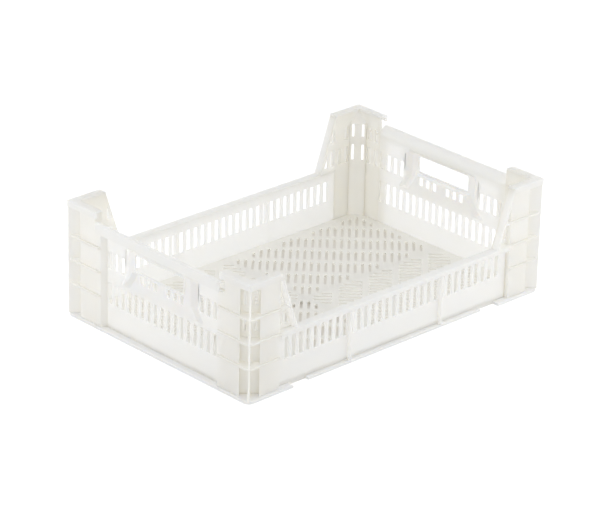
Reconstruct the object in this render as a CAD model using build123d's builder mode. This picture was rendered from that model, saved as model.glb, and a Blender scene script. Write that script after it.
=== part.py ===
"""Ventilated stacking crate for potatoes: a low tray with raised corners and a hand hold in each end.

The origin is on the ground at the middle of the footprint, X runs along the long sides and Z is up.
Front is -Y, rear is +Y, left is -X and right is +X.  The real crate is one moulding.  Here it is
divided at its own features into solids that meet face to face, so that each can be named and changed.
"""

import os
from math import ceil, floor, sqrt

from build123d import *

# Overall size
length = 600.0
width = 400.0
corner_height = 186.0
rim_height = 93.0
rail_height = 170.0

# Thickness of the moulding, and how far the rims, rails, corners and feet stand out from the skin
wall = 2.6
rib = 2.6
flange = 12.0
edge_round = 1.2

# Upright slots: a low row below the rims, a middle row above them and a high row in the corners
slot_pitch = 14.4
slot_width = 8.2
slot_round = 1.2
low_slot_bottom = 43.5
low_slot_below_rim = 15.0
mid_slot_above_rim = 7.5
high_slot_gap = 12.5
high_slot_height = 21.5

# Corners: reach from the corner to the ends of the block, facet across the inside, panels, ledges and foot
side_reach = 62.4
end_reach = 63.2
end_panel_reach = 79.0
corner_slots = 2
facet_leg = 20.0
facet_point_leg = 2.0
facet_slot_spacing = 15.6
facet_slot_width = 3.6
facet_slot_rise = 2.5
lead_in_height = 17.5
lead_in_below_plate = 0.5
lead_in_above_slots = 3.5
cap_skirt = 10.0
cap_plate = 3.0
cap_round = 1.5
panel_recess = 5.0
ledge_recess = 0.8
foot_height = 4.0
foot_round = 10.0
ledge_pitch = 38.2
fin_inset = 2.1
wing_run = 31.0
wing_bar = 4.5

# Long sides: rim lip, outside ribs and the foot rail with a notch before each corner foot
rim_lip = 7.0
side_rib_bar = 6.5
side_rib_depth = 7.0
foot_rail_end = 122.0
corner_foot_reach = 88.0

# Ends: top rail, and the arch pressed outward around the hand hold, with a leg on each side of short slots
rail_lip = 16.0
rail_skirt = 16.0
handle_width = 107.0
handle_height = 26.0
handle_round = 6.0
handle_below_rail = 38.4
grip_wall = 2.0
grip_stand_out = 0.8
arch_depth = 4.6
arch_below_rim = 9.0
arch_knee_below_grip = 10.7
handle_slots = 3
handle_slot_above_rim = 5.5
handle_slot_below_grip = 4.7
slot_beside_arch = 1.8
least_bar = 4.0

# Outline of the +Y half of the arch, where it leaves the wall and along its crest: for each point the level
# it belongs to, how far it lies beyond the side of the hand hold, and how far above that level
arch_outer_edge = [
    ("foot", 36.5, 0.0),
    ("knee", 23.5, 0.0),
    ("grip_bottom", 25.5, 0.0),
    ("grip_top", 25.5, -3.0),
    ("grip_top", 16.5, 5.0),
]
arch_inner_edge = [
    ("grip_bottom", 0.5, -3.2),
    ("knee", 4.5, -2.0),
    ("foot", 18.5, 0.0),
]
arch_outer_crest = [
    ("foot", 29.5, 3.0),
    ("knee", 15.5, 0.0),
    ("grip_bottom", 13.5, 1.0),
    ("grip_top", 13.5, -4.0),
    ("grip_top", 10.5, 1.0),
]
arch_inner_crest = [
    ("grip_bottom", 6.5, -0.8),
    ("knee", 11.5, -1.5),
    ("foot", 25.5, 3.0),
]

# Floor: plates with slots at 45 degrees that point to the corners, on a cross of ribs
floor_top = 8.0
floor_thickness = 3.0
floor_rib_clearance = 1.0
floor_slot_width = 4.4
floor_slot_length = 35.5
floor_slot_pitch = 11.3
floor_row_pitch = 45.2
floor_slot_least = 9.0
floor_border = 13.0
floor_middle_bar = 4.0

# Faces of the skin and levels that the pieces share
x_end = length / 2
y_end = width / 2
x_out = x_end - flange
y_out = y_end - flange
x_in = x_out - wall
y_in = y_out - wall
plate_bottom = corner_height - cap_plate
skirt_bottom = corner_height - cap_skirt
end_wall_top = rail_height - rail_skirt
floor_bottom = floor_top - floor_thickness
lead_in_top = plate_bottom - lead_in_below_plate
lead_in_bottom = lead_in_top - lead_in_height
low_slot_top = rim_height - low_slot_below_rim
mid_slot_bottom = rim_height + mid_slot_above_rim
high_slot_top = lead_in_bottom - lead_in_above_slots
high_slot_bottom = high_slot_top - high_slot_height
mid_slot_top = high_slot_bottom - high_slot_gap
handle_middle = rail_height - handle_below_rail
grip_width = handle_width + 2 * grip_wall
grip_height = handle_height + 2 * grip_wall
grip_top = handle_middle + grip_height / 2
grip_bottom = handle_middle - grip_height / 2
arch_levels = {
    "foot": rim_height - arch_below_rim,
    "knee": grip_bottom - arch_knee_below_grip,
    "grip_bottom": grip_bottom,
    "grip_top": grip_top,
}

# Middles and outer faces of the end ribs of the corner blocks, outer faces of their panels and ledges
side_bar = x_end - side_reach
end_bar = y_end - end_reach
side_edge = side_bar - rib / 2
end_edge = end_bar - rib / 2
end_panel_edge = y_end - end_panel_reach
x_panel = x_end - panel_recess
y_panel = y_end - panel_recess
x_ledge = x_end - ledge_recess
y_ledge = y_end - ledge_recess
panel_depth = flange - panel_recess
side_mouth = x_out - facet_leg + panel_depth
end_mouth = y_out - facet_leg + panel_depth
rim_bottom = rim_height - wall
ledge_levels = [rim_bottom - ledge_pitch, rim_bottom, rim_bottom + ledge_pitch]

sides = {"front": -1, "rear": 1}
ends = {"left": -1, "right": 1}


def end_plane(x):
    """Upright plane across the crate: sketch right is +Y, sketch up is +Z, normal is +X."""
    return Plane(origin=(x, 0, 0), x_dir=(0, 1, 0), z_dir=(1, 0, 0))


def side_plane(y):
    """Upright plane along the crate: sketch right is +X, sketch up is +Z, normal is -Y."""
    return Plane(origin=(0, y, 0), x_dir=(1, 0, 0), z_dir=(0, -1, 0))


def signed(points, first=1, second=1):
    """Points given for the +X, +Y part of the crate, mirrored to another part of it."""
    return [(first * a, second * b) for a, b in points]


def keep(piece, name):
    """Label a finished piece and write it."""
    piece.part.label = name
    export_step(piece.part, f"parts/{name}.step")


def cut_slots(centres, bottom, top):
    """Cut upright slots from the sketch that is being drawn."""
    middle = (bottom + top) / 2
    with Locations(*[(centre, middle) for centre in centres]):
        RectangleRounded(slot_width, top - bottom, slot_round, mode=Mode.SUBTRACT)


def facet_bend(out, leg):
    """Where the inner face of a wall bends into the corner facet, for the outer face of that wall."""
    return out - leg - wall * (sqrt(2) - 1)


def facet_section(leg):
    """Plan section of the corner facet for the +X, +Y corner."""
    x_bend = facet_bend(x_out, leg)
    y_bend = facet_bend(y_out, leg)
    return [
        (x_bend, y_in),
        (x_in, y_bend),
        (x_out, y_bend),
        (x_out, y_out - leg),
        (x_out - leg, y_out),
        (x_bend, y_out),
    ]


def floor_slots():
    """Places of the slots of the +X, +Y floor plate, listed by slot length."""
    low = floor_middle_bar * sqrt(2)
    x_reach = (x_in - floor_border) * sqrt(2)
    y_reach = (y_in - floor_border) * sqrt(2)
    columns = ceil(x_reach / floor_slot_pitch)
    rows = ceil((x_reach + y_reach) / 2 / floor_row_pitch)
    places = {}
    for row in range(rows):
        middle = (row + 0.5) * floor_row_pitch
        for column in range(-columns, columns):
            across = (column + 0.5) * floor_slot_pitch
            start = max(middle - floor_slot_length / 2, low + abs(across))
            stop = min(middle + floor_slot_length / 2, x_reach + across, y_reach - across)
            if stop - start >= floor_slot_least:
                along = (start + stop) / 2
                place = ((along - across) / sqrt(2), (along + across) / sqrt(2))
                places.setdefault(round(stop - start, 3), []).append(place)
    return places


def make_floor_plate(sx, sy, name):
    """Quarter of the floor, with a slanted corner against the facet of its corner post."""
    x_bend = facet_bend(x_out, facet_leg)
    y_bend = facet_bend(y_out, facet_leg)
    corners = [(0, 0), (x_in, 0), (x_in, y_bend), (x_bend, y_in), (0, y_in)]
    with BuildPart() as plate:
        with BuildSketch(Plane.XY.offset(floor_bottom)):
            Polygon(*signed(corners, sx, sy))
            for slot_length, places in floor_slots().items():
                with Locations(*signed(places, sx, sy)):
                    SlotOverall(slot_length, floor_slot_width, rotation=45 * sx * sy, mode=Mode.SUBTRACT)
        extrude(amount=floor_thickness)
    keep(plate, name)


def make_floor_ribs():
    """Cross of ribs under the seams of the four floor plates."""
    with BuildPart() as ribs:
        with BuildSketch(Plane.XY.offset(floor_rib_clearance)):
            Rectangle(2 * x_in, rib)
            Rectangle(rib, 2 * y_in)
        extrude(amount=floor_bottom - floor_rib_clearance)
    keep(ribs, "floor_ribs")


def make_side_wall(sy, name):
    """Long wall between the corner blocks, with its row of slots."""
    reach = floor((side_edge - least_bar - slot_width / 2) / slot_pitch)
    slots = [k * slot_pitch for k in range(-reach, reach + 1)]
    with BuildPart() as panel:
        with BuildSketch(side_plane(sy * y_in)):
            with Locations((0, rim_bottom / 2)):
                Rectangle(2 * side_edge, rim_bottom)
            cut_slots(slots, low_slot_bottom, low_slot_top)
        extrude(amount=-sy * wall)
    keep(panel, name)


def make_side_rim(sy, name):
    """Flange on top of a long wall, with a lip that hangs at its outer edge."""
    profile = [
        (y_in, rim_bottom),
        (y_end - wall, rim_bottom),
        (y_end - wall, rim_height - rim_lip),
        (y_end, rim_height - rim_lip),
        (y_end, rim_height),
        (y_in, rim_height),
    ]
    with BuildPart() as rim:
        with BuildSketch(end_plane(-side_edge)) as section:
            Polygon(*signed(profile, sy))
            fillet(section.vertices().group_by(Axis.Y)[-1], radius=edge_round)
        extrude(amount=2 * side_edge)
    keep(rim, name)


def make_side_ribs(sy, name):
    """Two upright ribs outside a long wall, from its foot rail to its rim."""
    with BuildPart() as ribs:
        with BuildSketch(Plane.XY.offset(foot_height)):
            with Locations((0, sy * (y_out + side_rib_depth / 2))):
                with GridLocations(2 * side_rib_bar * slot_pitch, 1, 2, 1):
                    Rectangle(rib, side_rib_depth)
        extrude(amount=rim_bottom - foot_height)
    keep(ribs, name)


def make_side_foot_rail(sy, name):
    """Flange at the foot of a long wall, which stops short of the corner feet."""
    with BuildPart() as rail:
        with BuildSketch():
            with Locations((0, sy * (y_out + side_rib_depth / 2))):
                Rectangle(2 * (x_end - foot_rail_end), side_rib_depth)
        extrude(amount=foot_height)
    keep(rail, name)


def arch_points(edge):
    """Points of one edge of the arch, for the +Y half."""
    return [(handle_width / 2 + beyond, arch_levels[level] + above) for level, beyond, above in edge]


def both_halves(outer, inner):
    """Closed outline of the arch, made from its edges in the +Y half."""
    right = arch_points(inner) + arch_points(outer)
    left = [(-half, level) for half, level in reversed(right)]
    return right + left


def make_end_wall(sx, name):
    """End wall between the corner blocks, open where the panel of the hand hold sits."""
    foot, knee, side = arch_points(arch_outer_edge)[:3]
    share = (mid_slot_bottom - foot[1]) / (knee[1] - foot[1])
    arch_half = max(foot[0] + share * (knee[0] - foot[0]), side[0])
    beside_arch = arch_half + slot_beside_arch + slot_width / 2
    reach = floor((end_edge - slot_width / 2) / slot_pitch)
    low_slots = [k * slot_pitch for k in range(-reach, reach + 1)]
    mid_slots = [place for place in low_slots if abs(place) >= beside_arch]
    with BuildPart() as panel:
        with BuildSketch(end_plane(sx * x_in)):
            with Locations((0, end_wall_top / 2)):
                Rectangle(2 * end_edge, end_wall_top)
            Polygon(*both_halves(arch_outer_edge, []), mode=Mode.SUBTRACT)
            cut_slots(low_slots, low_slot_bottom, low_slot_top)
            cut_slots(mid_slots, mid_slot_bottom, mid_slot_top)
        extrude(amount=sx * wall)
    keep(panel, name)


def make_handle_panel(sx, name):
    """Panel around a hand hold: an arch pressed outward, with short slots between its legs."""
    slots = [sign * k * slot_pitch for k in range(1, handle_slots + 1) for sign in (-1, 1)]
    slot_bottom = rim_height + handle_slot_above_rim
    slot_top = grip_bottom - handle_slot_below_grip
    root = both_halves(arch_outer_edge, arch_inner_edge)
    crest = both_halves(arch_outer_crest, arch_inner_crest)
    with BuildPart() as panel:
        with BuildSketch(end_plane(sx * x_in)):
            Polygon(*both_halves(arch_outer_edge, []))
        extrude(amount=sx * wall)
        for face, mode in ((x_out, Mode.ADD), (x_in, Mode.SUBTRACT)):
            with BuildSketch(end_plane(sx * face)):
                Polygon(*root)
            with BuildSketch(end_plane(sx * (face + arch_depth))):
                Polygon(*crest)
            loft(ruled=True, mode=mode)
        with BuildSketch(end_plane(sx * x_in)):
            with Locations((0, handle_middle)):
                RectangleRounded(grip_width, grip_height, handle_round)
            with Locations(*[(slot, (slot_bottom + slot_top) / 2) for slot in slots]):
                RectangleRounded(slot_width, slot_top - slot_bottom, slot_round)
        extrude(amount=sx * (arch_depth + wall), mode=Mode.SUBTRACT)
    keep(panel, name)


def make_handle_grip(sx, name):
    """Collar that lines the hand hold, from the inner face of the arch to just outside it."""
    with BuildPart() as grip:
        with BuildSketch(end_plane(sx * (x_in + arch_depth))):
            with Locations((0, handle_middle)):
                RectangleRounded(grip_width, grip_height, handle_round)
                RectangleRounded(
                    handle_width, handle_height, handle_round - grip_wall, mode=Mode.SUBTRACT
                )
        extrude(amount=sx * (wall + grip_stand_out))
    keep(grip, name)


def make_end_rail(sx, name):
    """Top rail of an end: the skin rolls outward over a wide round and turns down in a lip."""
    profile = [
        (x_in, end_wall_top),
        (x_in, rail_height),
        (x_end, rail_height),
        (x_end, rail_height - rail_lip),
        (x_end - wall, rail_height - rail_lip),
        (x_end - wall, rail_height - wall),
        (x_out, rail_height - wall),
        (x_out, end_wall_top),
    ]
    roll = flange + wall - 2 * edge_round
    with BuildPart() as rail:
        with BuildSketch(side_plane(end_edge)) as section:
            Polygon(*signed(profile, sx))
            spots = section.vertices()
            inner_top = spots.sort_by_distance((sx * x_in, rail_height))[0]
            fillet(inner_top, radius=roll)
            spots = section.vertices()
            under_top = spots.sort_by_distance((sx * x_out, rail_height - wall))[0]
            fillet(under_top, radius=flange - wall - edge_round)
            spots = section.vertices()
            outer_top = spots.sort_by_distance((sx * x_end, rail_height))[0]
            fillet(outer_top, radius=edge_round)
        extrude(amount=2 * end_edge)
    keep(rail, name)


def make_end_foot_rail(sx, name):
    """Flange at the foot of an end wall, flush with the corner feet."""
    with BuildPart() as rail:
        with BuildSketch():
            with Locations((sx * (x_out + flange / 2), 0)):
                Rectangle(flange, 2 * end_edge)
        extrude(amount=foot_height)
    keep(rail, name)


def make_corner_post(sx, sy, name):
    """Facet across the inside of a corner, which leans out to a point under the cap."""
    middle = (sx * (x_out - facet_leg / 2), sy * (y_out - facet_leg / 2), 0)
    face = Plane(origin=middle, x_dir=(-sy, sx, 0), z_dir=(sx, sy, 0))
    with BuildPart() as post:
        with BuildSketch():
            Polygon(*signed(facet_section(facet_leg), sx, sy))
        extrude(amount=lead_in_bottom)
        with BuildSketch(Plane.XY.offset(lead_in_bottom)):
            Polygon(*signed(facet_section(facet_leg), sx, sy))
        with BuildSketch(Plane.XY.offset(lead_in_top)):
            Polygon(*signed(facet_section(facet_point_leg), sx, sy))
        loft(ruled=True)
        with BuildSketch(Plane.XY.offset(lead_in_top)):
            Polygon(*signed(facet_section(facet_point_leg), sx, sy))
        extrude(amount=plate_bottom - lead_in_top)
        with BuildSketch(face):
            for bottom, top in ((mid_slot_bottom, mid_slot_top), (high_slot_bottom, high_slot_top)):
                with Locations((0, (bottom + top) / 2 + facet_slot_rise)):
                    with GridLocations(facet_slot_spacing, 1, 2, 1):
                        RectangleRounded(facet_slot_width, top - bottom, slot_round)
        extrude(amount=2 * wall, both=True, mode=Mode.SUBTRACT)
    keep(post, name)


def make_corner_end_leg(sx, sy, name):
    """Skin of a corner block in the plane of the end wall."""
    bend = facet_bend(y_out, facet_leg)
    point = facet_bend(y_out, facet_point_leg)
    corners = [
        (end_edge, 0),
        (bend, 0),
        (bend, lead_in_bottom),
        (point, lead_in_top),
        (point, plate_bottom),
        (end_edge, plate_bottom),
    ]
    slots = [sy * (end_bar + (k + 0.5) * slot_pitch) for k in range(corner_slots)]
    with BuildPart() as leg:
        with BuildSketch(end_plane(sx * x_in)):
            Polygon(*signed(corners, sy))
            cut_slots(slots, mid_slot_bottom, mid_slot_top)
            cut_slots(slots, high_slot_bottom, high_slot_top)
        extrude(amount=sx * wall)
    keep(leg, name)


def make_corner_side_leg(sx, sy, name):
    """Skin of a corner block in the plane of the long wall, with the wing that slopes to the rim."""
    bend = facet_bend(x_out, facet_leg)
    point = facet_bend(x_out, facet_point_leg)
    corners = [
        (side_edge, 0),
        (bend, 0),
        (bend, lead_in_bottom),
        (point, lead_in_top),
        (point, plate_bottom),
        (side_edge, plate_bottom),
        (wing_slope(rim_height), rim_height),
        (side_edge, rim_height),
    ]
    inside_slope = [
        (wing_slope(rim_height) + wing_bar, rim_height),
        (side_edge + wing_bar, plate_bottom),
        (x_out, plate_bottom),
        (x_out, rim_height),
    ]
    slots = [side_bar + (k + 0.5) * slot_pitch for k in range(-2, corner_slots)]
    mid_slots = [(slot, (mid_slot_bottom + mid_slot_top) / 2) for slot in slots]
    high_slots = [(slot, (high_slot_bottom + high_slot_top) / 2) for slot in (slots[1], slots[-1])]
    with BuildSketch() as windows:
        with Locations(*signed(mid_slots, sx)):
            RectangleRounded(slot_width, mid_slot_top - mid_slot_bottom, slot_round)
        with Locations(*signed(high_slots, sx)):
            RectangleRounded(slot_width, high_slot_height, slot_round)
        Polygon(*signed(inside_slope, sx), mode=Mode.INTERSECT)
    with BuildPart() as leg:
        with BuildSketch(side_plane(sy * y_in)):
            Polygon(*signed(corners, sx))
            add(windows.sketch, mode=Mode.SUBTRACT)
        extrude(amount=-sy * wall)
    keep(leg, name)


def wing_slope(level):
    """Where the sloping edge of a wing is at a level, for the +X half."""
    return side_edge - wing_run * (plate_bottom - level) / (plate_bottom - rim_height)


def make_wing_flange(sx, sy, name):
    """Flange along the sloping edge of a wing, tied to the corner block by the top ledge."""
    rise = plate_bottom - rim_height
    across = wall * sqrt(1 + (wing_run / rise) ** 2)
    meeting = plate_bottom - across * rise / wing_run
    slope = [
        (wing_slope(rim_height), rim_height),
        (wing_slope(rim_height) + across, rim_height),
        (side_edge, meeting),
        (side_edge, plate_bottom),
    ]
    bottom = ledge_levels[-1]
    top = bottom + rib
    ledge = [
        (wing_slope(bottom), bottom),
        (side_edge, bottom),
        (side_edge, top),
        (wing_slope(top), top),
    ]
    with BuildPart() as strip:
        with BuildSketch(side_plane(sy * y_out)):
            Polygon(*signed(slope, sx))
        extrude(amount=-sy * flange)
        with BuildSketch(side_plane(sy * y_out)):
            Polygon(*signed(ledge, sx))
        extrude(amount=-sy * (y_ledge - y_out))
    keep(strip, name)


def corner_frame(sx, sy, x_start, y_start, rounding):
    """Draw the space between skin and outer faces at a corner, with a rounded outer corner."""
    corners = [
        (x_start, y_out),
        (x_out - facet_leg, y_out),
        (x_out, y_out - facet_leg),
        (x_out, y_start),
        (x_end, y_start),
        (x_end, y_end),
        (x_start, y_end),
    ]
    with BuildSketch() as frame:
        Polygon(*signed(corners, sx, sy))
        outer = frame.vertices().sort_by_distance((sx * x_end, sy * y_end))[0]
        fillet(outer, radius=rounding)
    return frame.sketch


def make_corner_side_panel(sx, sy, name):
    """Closed box on the long side of a corner block, which ends in a wall of the corner pocket."""
    slant = rib * sqrt(2)
    outline = [
        (side_edge, y_out),
        (x_out - facet_leg, y_out),
        (side_mouth, y_panel),
        (side_edge, y_panel),
    ]
    middle_rib = side_bar + slot_pitch
    first_hollow = [
        (side_bar + rib / 2, y_out),
        (middle_rib - rib / 2, y_out),
        (middle_rib - rib / 2, y_panel - wall),
        (side_bar + rib / 2, y_panel - wall),
    ]
    second_hollow = [
        (middle_rib + rib / 2, y_out),
        (x_out - facet_leg - slant, y_out),
        (side_mouth - slant - wall, y_panel - wall),
        (middle_rib + rib / 2, y_panel - wall),
    ]
    with BuildPart() as panel:
        with BuildSketch(Plane.XY.offset(foot_height)):
            Polygon(*signed(outline, sx, sy))
            Polygon(*signed(first_hollow, sx, sy), mode=Mode.SUBTRACT)
            Polygon(*signed(second_hollow, sx, sy), mode=Mode.SUBTRACT)
        extrude(amount=plate_bottom - foot_height)
    keep(panel, name)


def make_corner_end_panel(sx, sy, name):
    """Closed box on the end of a corner block, which starts in a slope and is wider below the rail."""
    slant = rib * sqrt(2)
    rail_bottom = rail_height - rail_lip
    with BuildPart() as panel:
        for start, bottom, top, roof in (
            (end_panel_edge, foot_height, rail_bottom, wall),
            (end_edge, rail_bottom, plate_bottom, 0),
        ):
            outline = [
                (x_out, start),
                (x_panel, start + panel_depth),
                (x_panel, end_mouth),
                (x_out, y_out - facet_leg),
            ]
            hollow = [
                (x_out, start + slant),
                (x_panel - wall, start + slant + panel_depth - wall),
                (x_panel - wall, end_mouth - slant - wall),
                (x_out, y_out - facet_leg - slant),
            ]
            with BuildSketch(Plane.XY.offset(bottom)):
                Polygon(*signed(outline, sx, sy))
            extrude(amount=top - bottom)
            with BuildSketch(Plane.XY.offset(bottom)):
                Polygon(*signed(hollow, sx, sy))
            extrude(amount=top - bottom - roof, mode=Mode.SUBTRACT)
    keep(panel, name)


def make_corner_buttress(sx, sy, name):
    """Ledges around a corner block, which cross its open pocket, and the fin out to the corner."""
    ledge = [
        (x_out - facet_leg, y_out),
        (x_out, y_out - facet_leg),
        (x_panel, end_mouth),
        (x_panel, end_panel_edge + panel_depth),
        (x_ledge, end_panel_edge + x_ledge - x_out),
        (x_ledge, y_ledge),
        (side_edge, y_ledge),
        (side_edge, y_panel),
        (side_mouth, y_panel),
    ]
    diagonal = Plane(origin=(sx * x_end, sy * y_end, 0), x_dir=(sx, sy, 0), z_dir=(sy, -sx, 0))
    fin_root = -(2 * flange + facet_leg) / sqrt(2)
    fin_root_top = -(2 * flange + facet_point_leg) / sqrt(2)
    lean = (fin_root_top - fin_root) / (lead_in_top - lead_in_bottom)
    fin_corners = [
        (fin_root, foot_height),
        (-fin_inset, foot_height),
        (-fin_inset, skirt_bottom),
        (fin_root + lean * (skirt_bottom - lead_in_bottom), skirt_bottom),
        (fin_root, lead_in_bottom),
    ]
    with BuildPart() as buttress:
        for level in ledge_levels:
            with BuildSketch(Plane.XY.offset(level)) as section:
                Polygon(*signed(ledge, sx, sy))
                outer = section.vertices().sort_by_distance((sx * x_ledge, sy * y_ledge, level))[0]
                fillet(outer, radius=foot_round)
            extrude(amount=rib)
        with BuildSketch(diagonal):
            Polygon(*fin_corners)
        extrude(amount=rib / 2, both=True)
    keep(buttress, name)


def make_corner_cap(sx, sy, name):
    """Stacking seat on top of a corner: an angle plate with a skirt around its outer edges."""
    plate = [
        (side_edge, y_in),
        (x_in, y_in),
        (x_in, end_edge),
        (x_end, end_edge),
        (x_end, y_end),
        (side_edge, y_end),
    ]
    skirt = [
        (side_edge, y_panel),
        (side_edge + wall, y_panel),
        (side_edge + wall, y_end - wall),
        (x_end - wall, y_end - wall),
        (x_end - wall, end_edge + wall),
        (x_panel, end_edge + wall),
        (x_panel, end_edge),
        (x_end, end_edge),
        (x_end, y_end),
        (side_edge, y_end),
    ]
    with BuildPart() as cap:
        for corners, level, height in (
            (skirt, skirt_bottom, cap_skirt - cap_plate),
            (plate, plate_bottom, cap_plate),
        ):
            with BuildSketch(Plane.XY.offset(level)) as outline:
                Polygon(*signed(corners, sx, sy))
                outer = outline.vertices().sort_by_distance((sx * x_end, sy * y_end, level))[0]
                fillet(outer, radius=cap_round)
            extrude(amount=height)
        fillet(cap.edges().group_by(Axis.Z)[-1], radius=edge_round)
    keep(cap, name)


def make_corner_foot(sx, sy, name):
    """Flat foot under a corner block, longer along the long side than along the end."""
    with BuildPart() as foot:
        with BuildSketch():
            add(corner_frame(sx, sy, x_end - corner_foot_reach, end_edge, foot_round))
        extrude(amount=foot_height)
    keep(foot, name)


os.makedirs("parts", exist_ok=True)

make_floor_ribs()

for side_name, sy in sides.items():
    make_side_wall(sy, f"{side_name}_side_wall")
    make_side_rim(sy, f"{side_name}_side_rim")
    make_side_ribs(sy, f"{side_name}_side_ribs")
    make_side_foot_rail(sy, f"{side_name}_foot_rail")

for end_name, sx in ends.items():
    make_end_wall(sx, f"{end_name}_end_wall")
    make_handle_panel(sx, f"{end_name}_handle_panel")
    make_handle_grip(sx, f"{end_name}_handle_grip")
    make_end_rail(sx, f"{end_name}_end_rail")
    make_end_foot_rail(sx, f"{end_name}_foot_rail")

for side_name, sy in sides.items():
    for end_name, sx in ends.items():
        corner = f"{side_name}_{end_name}"
        make_floor_plate(sx, sy, f"{corner}_floor")
        make_corner_post(sx, sy, f"{corner}_post")
        make_corner_end_leg(sx, sy, f"{corner}_end_leg")
        make_corner_side_leg(sx, sy, f"{corner}_side_leg")
        make_wing_flange(sx, sy, f"{corner}_wing_flange")
        make_corner_side_panel(sx, sy, f"{corner}_side_panel")
        make_corner_end_panel(sx, sy, f"{corner}_end_panel")
        make_corner_buttress(sx, sy, f"{corner}_buttress")
        make_corner_cap(sx, sy, f"{corner}_cap")
        make_corner_foot(sx, sy, f"{corner}_foot")
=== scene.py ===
"""Looks of the potato crate: translucent natural plastic on a pale studio floor."""

from math import cos, radians, sin

import bpy
from mathutils import Matrix, Vector


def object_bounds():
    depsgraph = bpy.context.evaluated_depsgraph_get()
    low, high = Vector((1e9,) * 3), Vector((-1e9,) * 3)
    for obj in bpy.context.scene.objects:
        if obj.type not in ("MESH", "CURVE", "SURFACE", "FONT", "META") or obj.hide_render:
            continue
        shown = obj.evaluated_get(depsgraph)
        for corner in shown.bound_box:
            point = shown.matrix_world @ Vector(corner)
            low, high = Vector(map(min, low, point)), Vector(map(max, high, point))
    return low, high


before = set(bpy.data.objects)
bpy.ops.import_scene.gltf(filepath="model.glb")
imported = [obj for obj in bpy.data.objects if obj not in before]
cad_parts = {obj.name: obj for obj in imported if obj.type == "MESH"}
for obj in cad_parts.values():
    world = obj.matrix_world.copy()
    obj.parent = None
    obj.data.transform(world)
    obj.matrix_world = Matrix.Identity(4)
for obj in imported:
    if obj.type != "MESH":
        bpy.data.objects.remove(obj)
cad_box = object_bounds()

# Camera: the viewing angle of the photograph, in degrees, metres and, for lens and sensor, millimetres
camera_azimuth = -43.83
camera_elevation = 24.08
camera_roll = 1.41
camera_distance = 4.796
camera_target = Vector((-0.0248, -0.0115, 0.090))
camera_lens = 192.86
camera_sensor = 36.0
camera_reach = 100.0

# Surroundings: brightness overhead, and toward each side of the crate at the horizon and higher up.
# A rise is the pair of heights, as sines of the elevation, between which one level goes into the next
overhead_light = 0.52
overhead_rise = (0.55, 0.95)
side_rise = (0.1, 0.5)
side_lights = {
    "back": ((0.707, 0.707, 0.0), 1.25, 0.05),
    "front": ((-0.707, -0.707, 0.0), 0.0, 0.65),
    "left": ((-0.707, 0.707, 0.0), 0.6, 1.9),
    "right": ((0.707, -0.707, 0.0), 0.65, 2.1),
}
backdrop_light = 1.0
white = (1.0, 1.0, 1.0, 1.0)

# Soft lamps beside the crate: place of each one and the point that it faces, then size and power
lamps = {
    "left_lamp": (Vector((-0.75, 0.45, 0.25)), Vector((-0.30, 0.17, 0.10))),
    "right_lamp": (Vector((0.48, -0.68, 0.25)), Vector((0.27, -0.20, 0.10))),
}
lamp_size = 0.45
lamp_power = 0.50

# Light goes through many walls and is thrown back and forth inside the crate
light_bounces = 96

# Studio floor: it glows faintly around the crate, and is seen paler than it lights the crate. Under the
# crate the glow is warm, and it changes over a soft edge just inside the outline of the feet
floor_size = 16.0
floor_colour = 0.68
floor_roughness = 1.0
floor_shine = 0.0
floor_glow = 0.19
floor_seen_glow = 0.60
under_glow = 0.20
under_glow_colour = (1.0, 0.94, 0.84)
glow_inset = 0.010
glow_edge = 0.006

# Colours of the plastic where it throws light back, and where light comes through it
wall_colour = (0.994, 0.993, 0.986)
wall_through_colour = (0.993, 0.990, 0.968)
# Greyer than the walls: painted shade on the top-facing rims, end rails and caps, which stands in for
# less light from above
rim_colour_painted_shade = (0.952, 0.951, 0.942)
# Darker and warmer than the walls: painted shade of the posts, legs and buttresses inside the corner
# blocks
corner_colour_painted_shade = (0.946, 0.934, 0.899)
corner_through_colour = (0.988, 0.977, 0.938)
plate_colour = (0.957, 0.950, 0.912)
plate_through_colour = (0.993, 0.980, 0.945)

# Share of the light that comes through each kind of plastic from behind
wall_through_share = 0.40
panel_through_share = 0.34
handle_through_share = 0.12
foot_through_share = 0.12
plate_through_share = 0.10
rib_through_share = 1.0

# Spread of light inside the plastic: how far it goes, and how that differs between red, green and blue
wall_spread = 0.006
handle_spread = 0.0015
no_spread = 0.0
spread_colour = (1.0, 0.93, 0.82)

# Light that reaches a surface from inside the plastic: its colour and the share that gets out
inner_colour = (0.998, 0.997, 0.993)
leave_share = 0.75

# Finish: slow clouds in tint and roughness, and a fine grain
plastic_roughness = 0.42
plastic_refraction = 1.49
plastic_shine = 0.3
tint_spread = 0.004
roughness_spread = 0.10
cloud_size = 9.0
cloud_detail = 4.0
grain_size = 900.0
grain_detail = 2.0
grain_strength = 0.04
grain_height = 0.0005


def link(tree, source, target):
    tree.links.new(source, target)


def make_camera():
    """Camera that looks at the target from the photograph's direction."""
    azimuth = radians(camera_azimuth)
    elevation = radians(camera_elevation)
    roll = radians(camera_roll)
    back = Vector((sin(azimuth) * cos(elevation), -cos(azimuth) * cos(elevation), sin(elevation)))
    level = Vector((cos(azimuth), sin(azimuth), 0))
    upright = back.cross(level)
    right = cos(roll) * level + sin(roll) * upright
    up = cos(roll) * upright - sin(roll) * level
    data = bpy.data.cameras.new("camera")
    data.lens = camera_lens
    data.sensor_width = camera_sensor
    data.clip_end = camera_reach
    camera = bpy.data.objects.new("camera", data)
    turn = Matrix((right, up, back)).transposed().to_4x4()
    camera.matrix_world = Matrix.Translation(camera_target + camera_distance * back) @ turn
    bpy.context.scene.collection.objects.link(camera)
    bpy.context.scene.camera = camera


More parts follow.
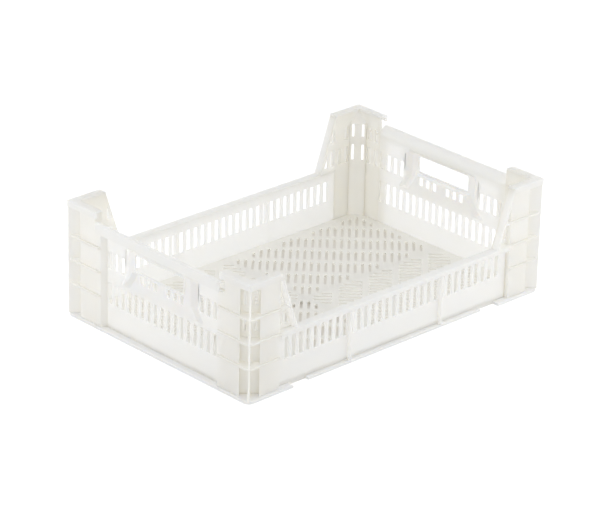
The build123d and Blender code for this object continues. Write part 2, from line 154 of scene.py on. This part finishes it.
def side_light(tree, place, height, direction, low, high):
    """Light from one side: full in its direction, and fading to nothing at right angles to it."""
    toward = tree.nodes.new("ShaderNodeVectorMath")
    toward.operation = "DOT_PRODUCT"
    toward.inputs[1].default_value = direction
    link(tree, place, toward.inputs[0])
    rise = tree.nodes.new("ShaderNodeMapRange")
    rise.inputs["From Min"].default_value = side_rise[0]
    rise.inputs["From Max"].default_value = side_rise[1]
    rise.inputs["To Min"].default_value = low
    rise.inputs["To Max"].default_value = high
    link(tree, height, rise.inputs["Value"])
    side = tree.nodes.new("ShaderNodeMapRange")
    link(tree, rise.outputs["Result"], side.inputs["To Max"])
    link(tree, toward.outputs["Value"], side.inputs["Value"])
    return side.outputs["Result"]


def make_world():
    """Soft surroundings with their own brightness overhead and on each side, seen as plain white."""
    world = bpy.data.worlds.new("studio")
    world.use_nodes = True
    tree = world.node_tree
    tree.nodes.clear()
    place = tree.nodes.new("ShaderNodeTexCoord").outputs["Generated"]
    split = tree.nodes.new("ShaderNodeSeparateXYZ")
    link(tree, place, split.inputs["Vector"])
    height = split.outputs["Z"]
    total = None
    for direction, low, high in side_lights.values():
        side = side_light(tree, place, height, direction, low, high)
        if total is None:
            total = side
        else:
            both = tree.nodes.new("ShaderNodeMath")
            link(tree, total, both.inputs[0])
            link(tree, side, both.inputs[1])
            total = both.outputs["Value"]
    overhead = tree.nodes.new("ShaderNodeMapRange")
    overhead.inputs["From Min"].default_value = overhead_rise[0]
    overhead.inputs["From Max"].default_value = overhead_rise[1]
    link(tree, height, overhead.inputs["Value"])
    level = tree.nodes.new("ShaderNodeMix")
    level.inputs["B"].default_value = overhead_light
    link(tree, overhead.outputs["Result"], level.inputs["Factor"])
    link(tree, total, level.inputs["A"])
    lit = tree.nodes.new("ShaderNodeBackground")
    lit.inputs["Color"].default_value = white
    link(tree, level.outputs["Result"], lit.inputs["Strength"])
    seen = tree.nodes.new("ShaderNodeBackground")
    seen.inputs["Color"].default_value = white
    seen.inputs["Strength"].default_value = backdrop_light
    ray = tree.nodes.new("ShaderNodeLightPath")
    choose = tree.nodes.new("ShaderNodeMixShader")
    link(tree, ray.outputs["Is Camera Ray"], choose.inputs["Fac"])
    link(tree, lit.outputs["Background"], choose.inputs[1])
    link(tree, seen.outputs["Background"], choose.inputs[2])
    out = tree.nodes.new("ShaderNodeOutputWorld")
    link(tree, choose.outputs["Shader"], out.inputs["Surface"])
    bpy.context.scene.world = world


def make_glow(tree, shader):
    """Glow of the floor: warm under the crate, white around it."""
    place = tree.nodes.new("ShaderNodeTexCoord")
    split = tree.nodes.new("ShaderNodeSeparateXYZ")
    link(tree, place.outputs["Object"], split.inputs["Vector"])
    outside = tree.nodes.new("ShaderNodeMath")
    outside.operation = "MAXIMUM"
    crate_half = {"X": cad_box[1][0], "Y": cad_box[1][1]}
    for number, (axis, half) in enumerate(crate_half.items()):
        size = tree.nodes.new("ShaderNodeMath")
        size.operation = "ABSOLUTE"
        link(tree, split.outputs[axis], size.inputs[0])
        beyond = tree.nodes.new("ShaderNodeMath")
        beyond.operation = "SUBTRACT"
        beyond.inputs[1].default_value = half
        link(tree, size.outputs["Value"], beyond.inputs[0])
        link(tree, beyond.outputs["Value"], outside.inputs[number])
    around = tree.nodes.new("ShaderNodeMapRange")
    around.inputs["From Min"].default_value = -glow_inset - glow_edge
    around.inputs["From Max"].default_value = -glow_inset
    link(tree, outside.outputs["Value"], around.inputs["Value"])
    tint = tree.nodes.new("ShaderNodeMix")
    tint.data_type = "RGBA"
    tint.inputs["A"].default_value = (*under_glow_colour, 1.0)
    tint.inputs["B"].default_value = white
    link(tree, around.outputs["Result"], tint.inputs["Factor"])
    link(tree, tint.outputs["Result"], shader.inputs["Emission Color"])
    ray = tree.nodes.new("ShaderNodeLightPath")
    pale = tree.nodes.new("ShaderNodeMix")
    pale.inputs["A"].default_value = floor_glow
    pale.inputs["B"].default_value = floor_seen_glow
    link(tree, ray.outputs["Is Camera Ray"], pale.inputs["Factor"])
    strength = tree.nodes.new("ShaderNodeMix")
    strength.inputs["A"].default_value = under_glow
    link(tree, around.outputs["Result"], strength.inputs["Factor"])
    link(tree, pale.outputs["Result"], strength.inputs["B"])
    link(tree, strength.outputs["Result"], shader.inputs["Emission Strength"])


def make_floor():
    """Pale floor that keeps the soft shadow of the crate."""
    half = floor_size / 2
    mesh = bpy.data.meshes.new("studio_floor")
    corners = [(-half, -half, 0), (half, -half, 0), (half, half, 0), (-half, half, 0)]
    mesh.from_pydata(corners, [], [(0, 1, 2, 3)])
    floor = bpy.data.objects.new("studio_floor", mesh)
    bpy.context.scene.collection.objects.link(floor)
    material = bpy.data.materials.new("studio_floor")
    material.use_nodes = True
    tree = material.node_tree
    shader = tree.nodes["Principled BSDF"]
    shader.inputs["Base Color"].default_value = (floor_colour, floor_colour, floor_colour, 1.0)
    shader.inputs["Roughness"].default_value = floor_roughness
    shader.inputs["Specular IOR Level"].default_value = floor_shine
    make_glow(tree, shader)
    mesh.materials.append(material)


def make_lamps():
    """Two soft lamps beside the crate, at its left and right corners."""
    for name, (place, aim) in lamps.items():
        data = bpy.data.lights.new(name, "AREA")
        data.size = lamp_size
        data.energy = lamp_power
        lamp = bpy.data.objects.new(name, data)
        lamp.location = place
        lamp.rotation_euler = (aim - place).to_track_quat("-Z", "Y").to_euler()
        lamp.visible_camera = False
        bpy.context.scene.collection.objects.link(lamp)


def add_finish(tree, surface, colour):
    """Clouds in tint and roughness, and a fine moulded grain."""
    place = tree.nodes.new("ShaderNodeTexCoord")
    clouds = tree.nodes.new("ShaderNodeTexNoise")
    clouds.inputs["Scale"].default_value = cloud_size
    clouds.inputs["Detail"].default_value = cloud_detail
    link(tree, place.outputs["Object"], clouds.inputs["Vector"])
    tint = tree.nodes.new("ShaderNodeMix")
    tint.data_type = "RGBA"
    tint.inputs["A"].default_value = (*[part - tint_spread for part in colour], 1.0)
    tint.inputs["B"].default_value = (*[part + tint_spread for part in colour], 1.0)
    link(tree, clouds.outputs["Fac"], tint.inputs["Factor"])
    link(tree, tint.outputs["Result"], surface.inputs["Base Color"])
    finish = tree.nodes.new("ShaderNodeMapRange")
    finish.inputs["To Min"].default_value = plastic_roughness - roughness_spread
    finish.inputs["To Max"].default_value = plastic_roughness + roughness_spread
    link(tree, clouds.outputs["Fac"], finish.inputs["Value"])
    link(tree, finish.outputs["Result"], surface.inputs["Roughness"])
    surface.inputs["IOR"].default_value = plastic_refraction
    surface.inputs["Specular IOR Level"].default_value = plastic_shine
    grain = tree.nodes.new("ShaderNodeTexNoise")
    grain.inputs["Scale"].default_value = grain_size
    grain.inputs["Detail"].default_value = grain_detail
    link(tree, place.outputs["Object"], grain.inputs["Vector"])
    relief = tree.nodes.new("ShaderNodeBump")
    relief.inputs["Strength"].default_value = grain_strength
    relief.inputs["Distance"].default_value = grain_height
    link(tree, grain.outputs["Fac"], relief.inputs["Height"])
    link(tree, relief.outputs["Normal"], surface.inputs["Normal"])


def mix_shaders(tree, first, second, share=None):
    """Mixture of two shaders, with a fixed share of the second one or a share that is linked later."""
    mix = tree.nodes.new("ShaderNodeMixShader")
    if share is not None:
        mix.inputs["Fac"].default_value = share
    link(tree, first.outputs[0], mix.inputs[1])
    link(tree, second.outputs[0], mix.inputs[2])
    return mix


def make_plastic(name, colour, through_colour, through_share, spread):
    """Milky plastic: part of the light is thrown back, part comes through from behind."""
    material = bpy.data.materials.new(name)
    material.use_nodes = True
    tree = material.node_tree
    surface = tree.nodes["Principled BSDF"]
    add_finish(tree, surface, colour)
    surface.inputs["Subsurface Weight"].default_value = float(spread > 0)
    surface.inputs["Subsurface Radius"].default_value = spread_colour
    surface.inputs["Subsurface Scale"].default_value = spread
    through = tree.nodes.new("ShaderNodeBsdfTranslucent")
    through.inputs["Color"].default_value = (*through_colour, 1.0)
    enter = mix_shaders(tree, surface, through, through_share)
    inner = tree.nodes.new("ShaderNodeBsdfDiffuse")
    inner.inputs["Color"].default_value = (*inner_colour, 1.0)
    outward = tree.nodes.new("ShaderNodeBsdfTranslucent")
    outward.inputs["Color"].default_value = (*inner_colour, 1.0)
    leave = mix_shaders(tree, inner, outward, leave_share)
    facing = tree.nodes.new("ShaderNodeNewGeometry")
    side = mix_shaders(tree, enter, leave)
    link(tree, facing.outputs["Backfacing"], side.inputs["Fac"])
    link(tree, side.outputs["Shader"], tree.nodes["Material Output"].inputs["Surface"])
    return material


def make_plastics():
    """The plastics of the crate, by the ends of the names of the nodes that have them."""
    # The rim plastic carries painted shade: its greyer colour makes the top-facing rims, rails and caps
    # read darker
    rim = make_plastic(
        "rim_plastic_painted_shade", rim_colour_painted_shade, wall_through_colour, wall_through_share, wall_spread)
    panel = make_plastic(
        "panel_plastic", wall_colour, corner_through_colour, panel_through_share, wall_spread)
    # The corner plastic carries painted shade: its darker, warmer colour makes the corner blocks read
    # shaded
    corner = make_plastic(
        "corner_plastic_painted_shade", corner_colour_painted_shade, corner_through_colour, wall_through_share, wall_spread)
    foot = make_plastic(
        "foot_plastic", wall_colour, wall_through_colour, foot_through_share, wall_spread)
    handle = make_plastic(
        "handle_plastic", wall_colour, wall_through_colour, handle_through_share, handle_spread)
    plate = make_plastic(
        "floor_plastic", plate_colour, plate_through_colour, plate_through_share, no_spread)
    rib = make_plastic(
        "floor_rib_plastic", plate_colour, plate_through_colour, rib_through_share, no_spread)
    return {
        "rim": rim, "end_rail": rim, "cap": rim,
        "side_panel": panel, "end_panel": panel,
        "post": corner, "end_leg": corner, "side_leg": corner, "buttress": corner,
        "foot_rail": foot, "foot": foot,
        "handle_grip": handle, "handle_panel": handle,
        "floor": plate, "floor_ribs": rib,
    }


def dress():
    """Give every node of the crate its plastic, which is that of the walls where no other is named."""
    wall = make_plastic(
        "wall_plastic", wall_colour, wall_through_colour, wall_through_share, wall_spread)
    plastics = make_plastics()
    for name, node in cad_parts.items():
        fitting = [kind for end, kind in plastics.items() if ("_" + name).endswith("_" + end)]
        node.data.materials.clear()
        node.data.materials.append(fitting[0] if fitting else wall)


scene = bpy.context.scene
scene.view_settings.view_transform = "Standard"
scene.cycles.max_bounces = light_bounces
scene.cycles.diffuse_bounces = light_bounces
scene.cycles.transmission_bounces = light_bounces
make_camera()
make_world()
make_floor()
make_lamps()
dress()
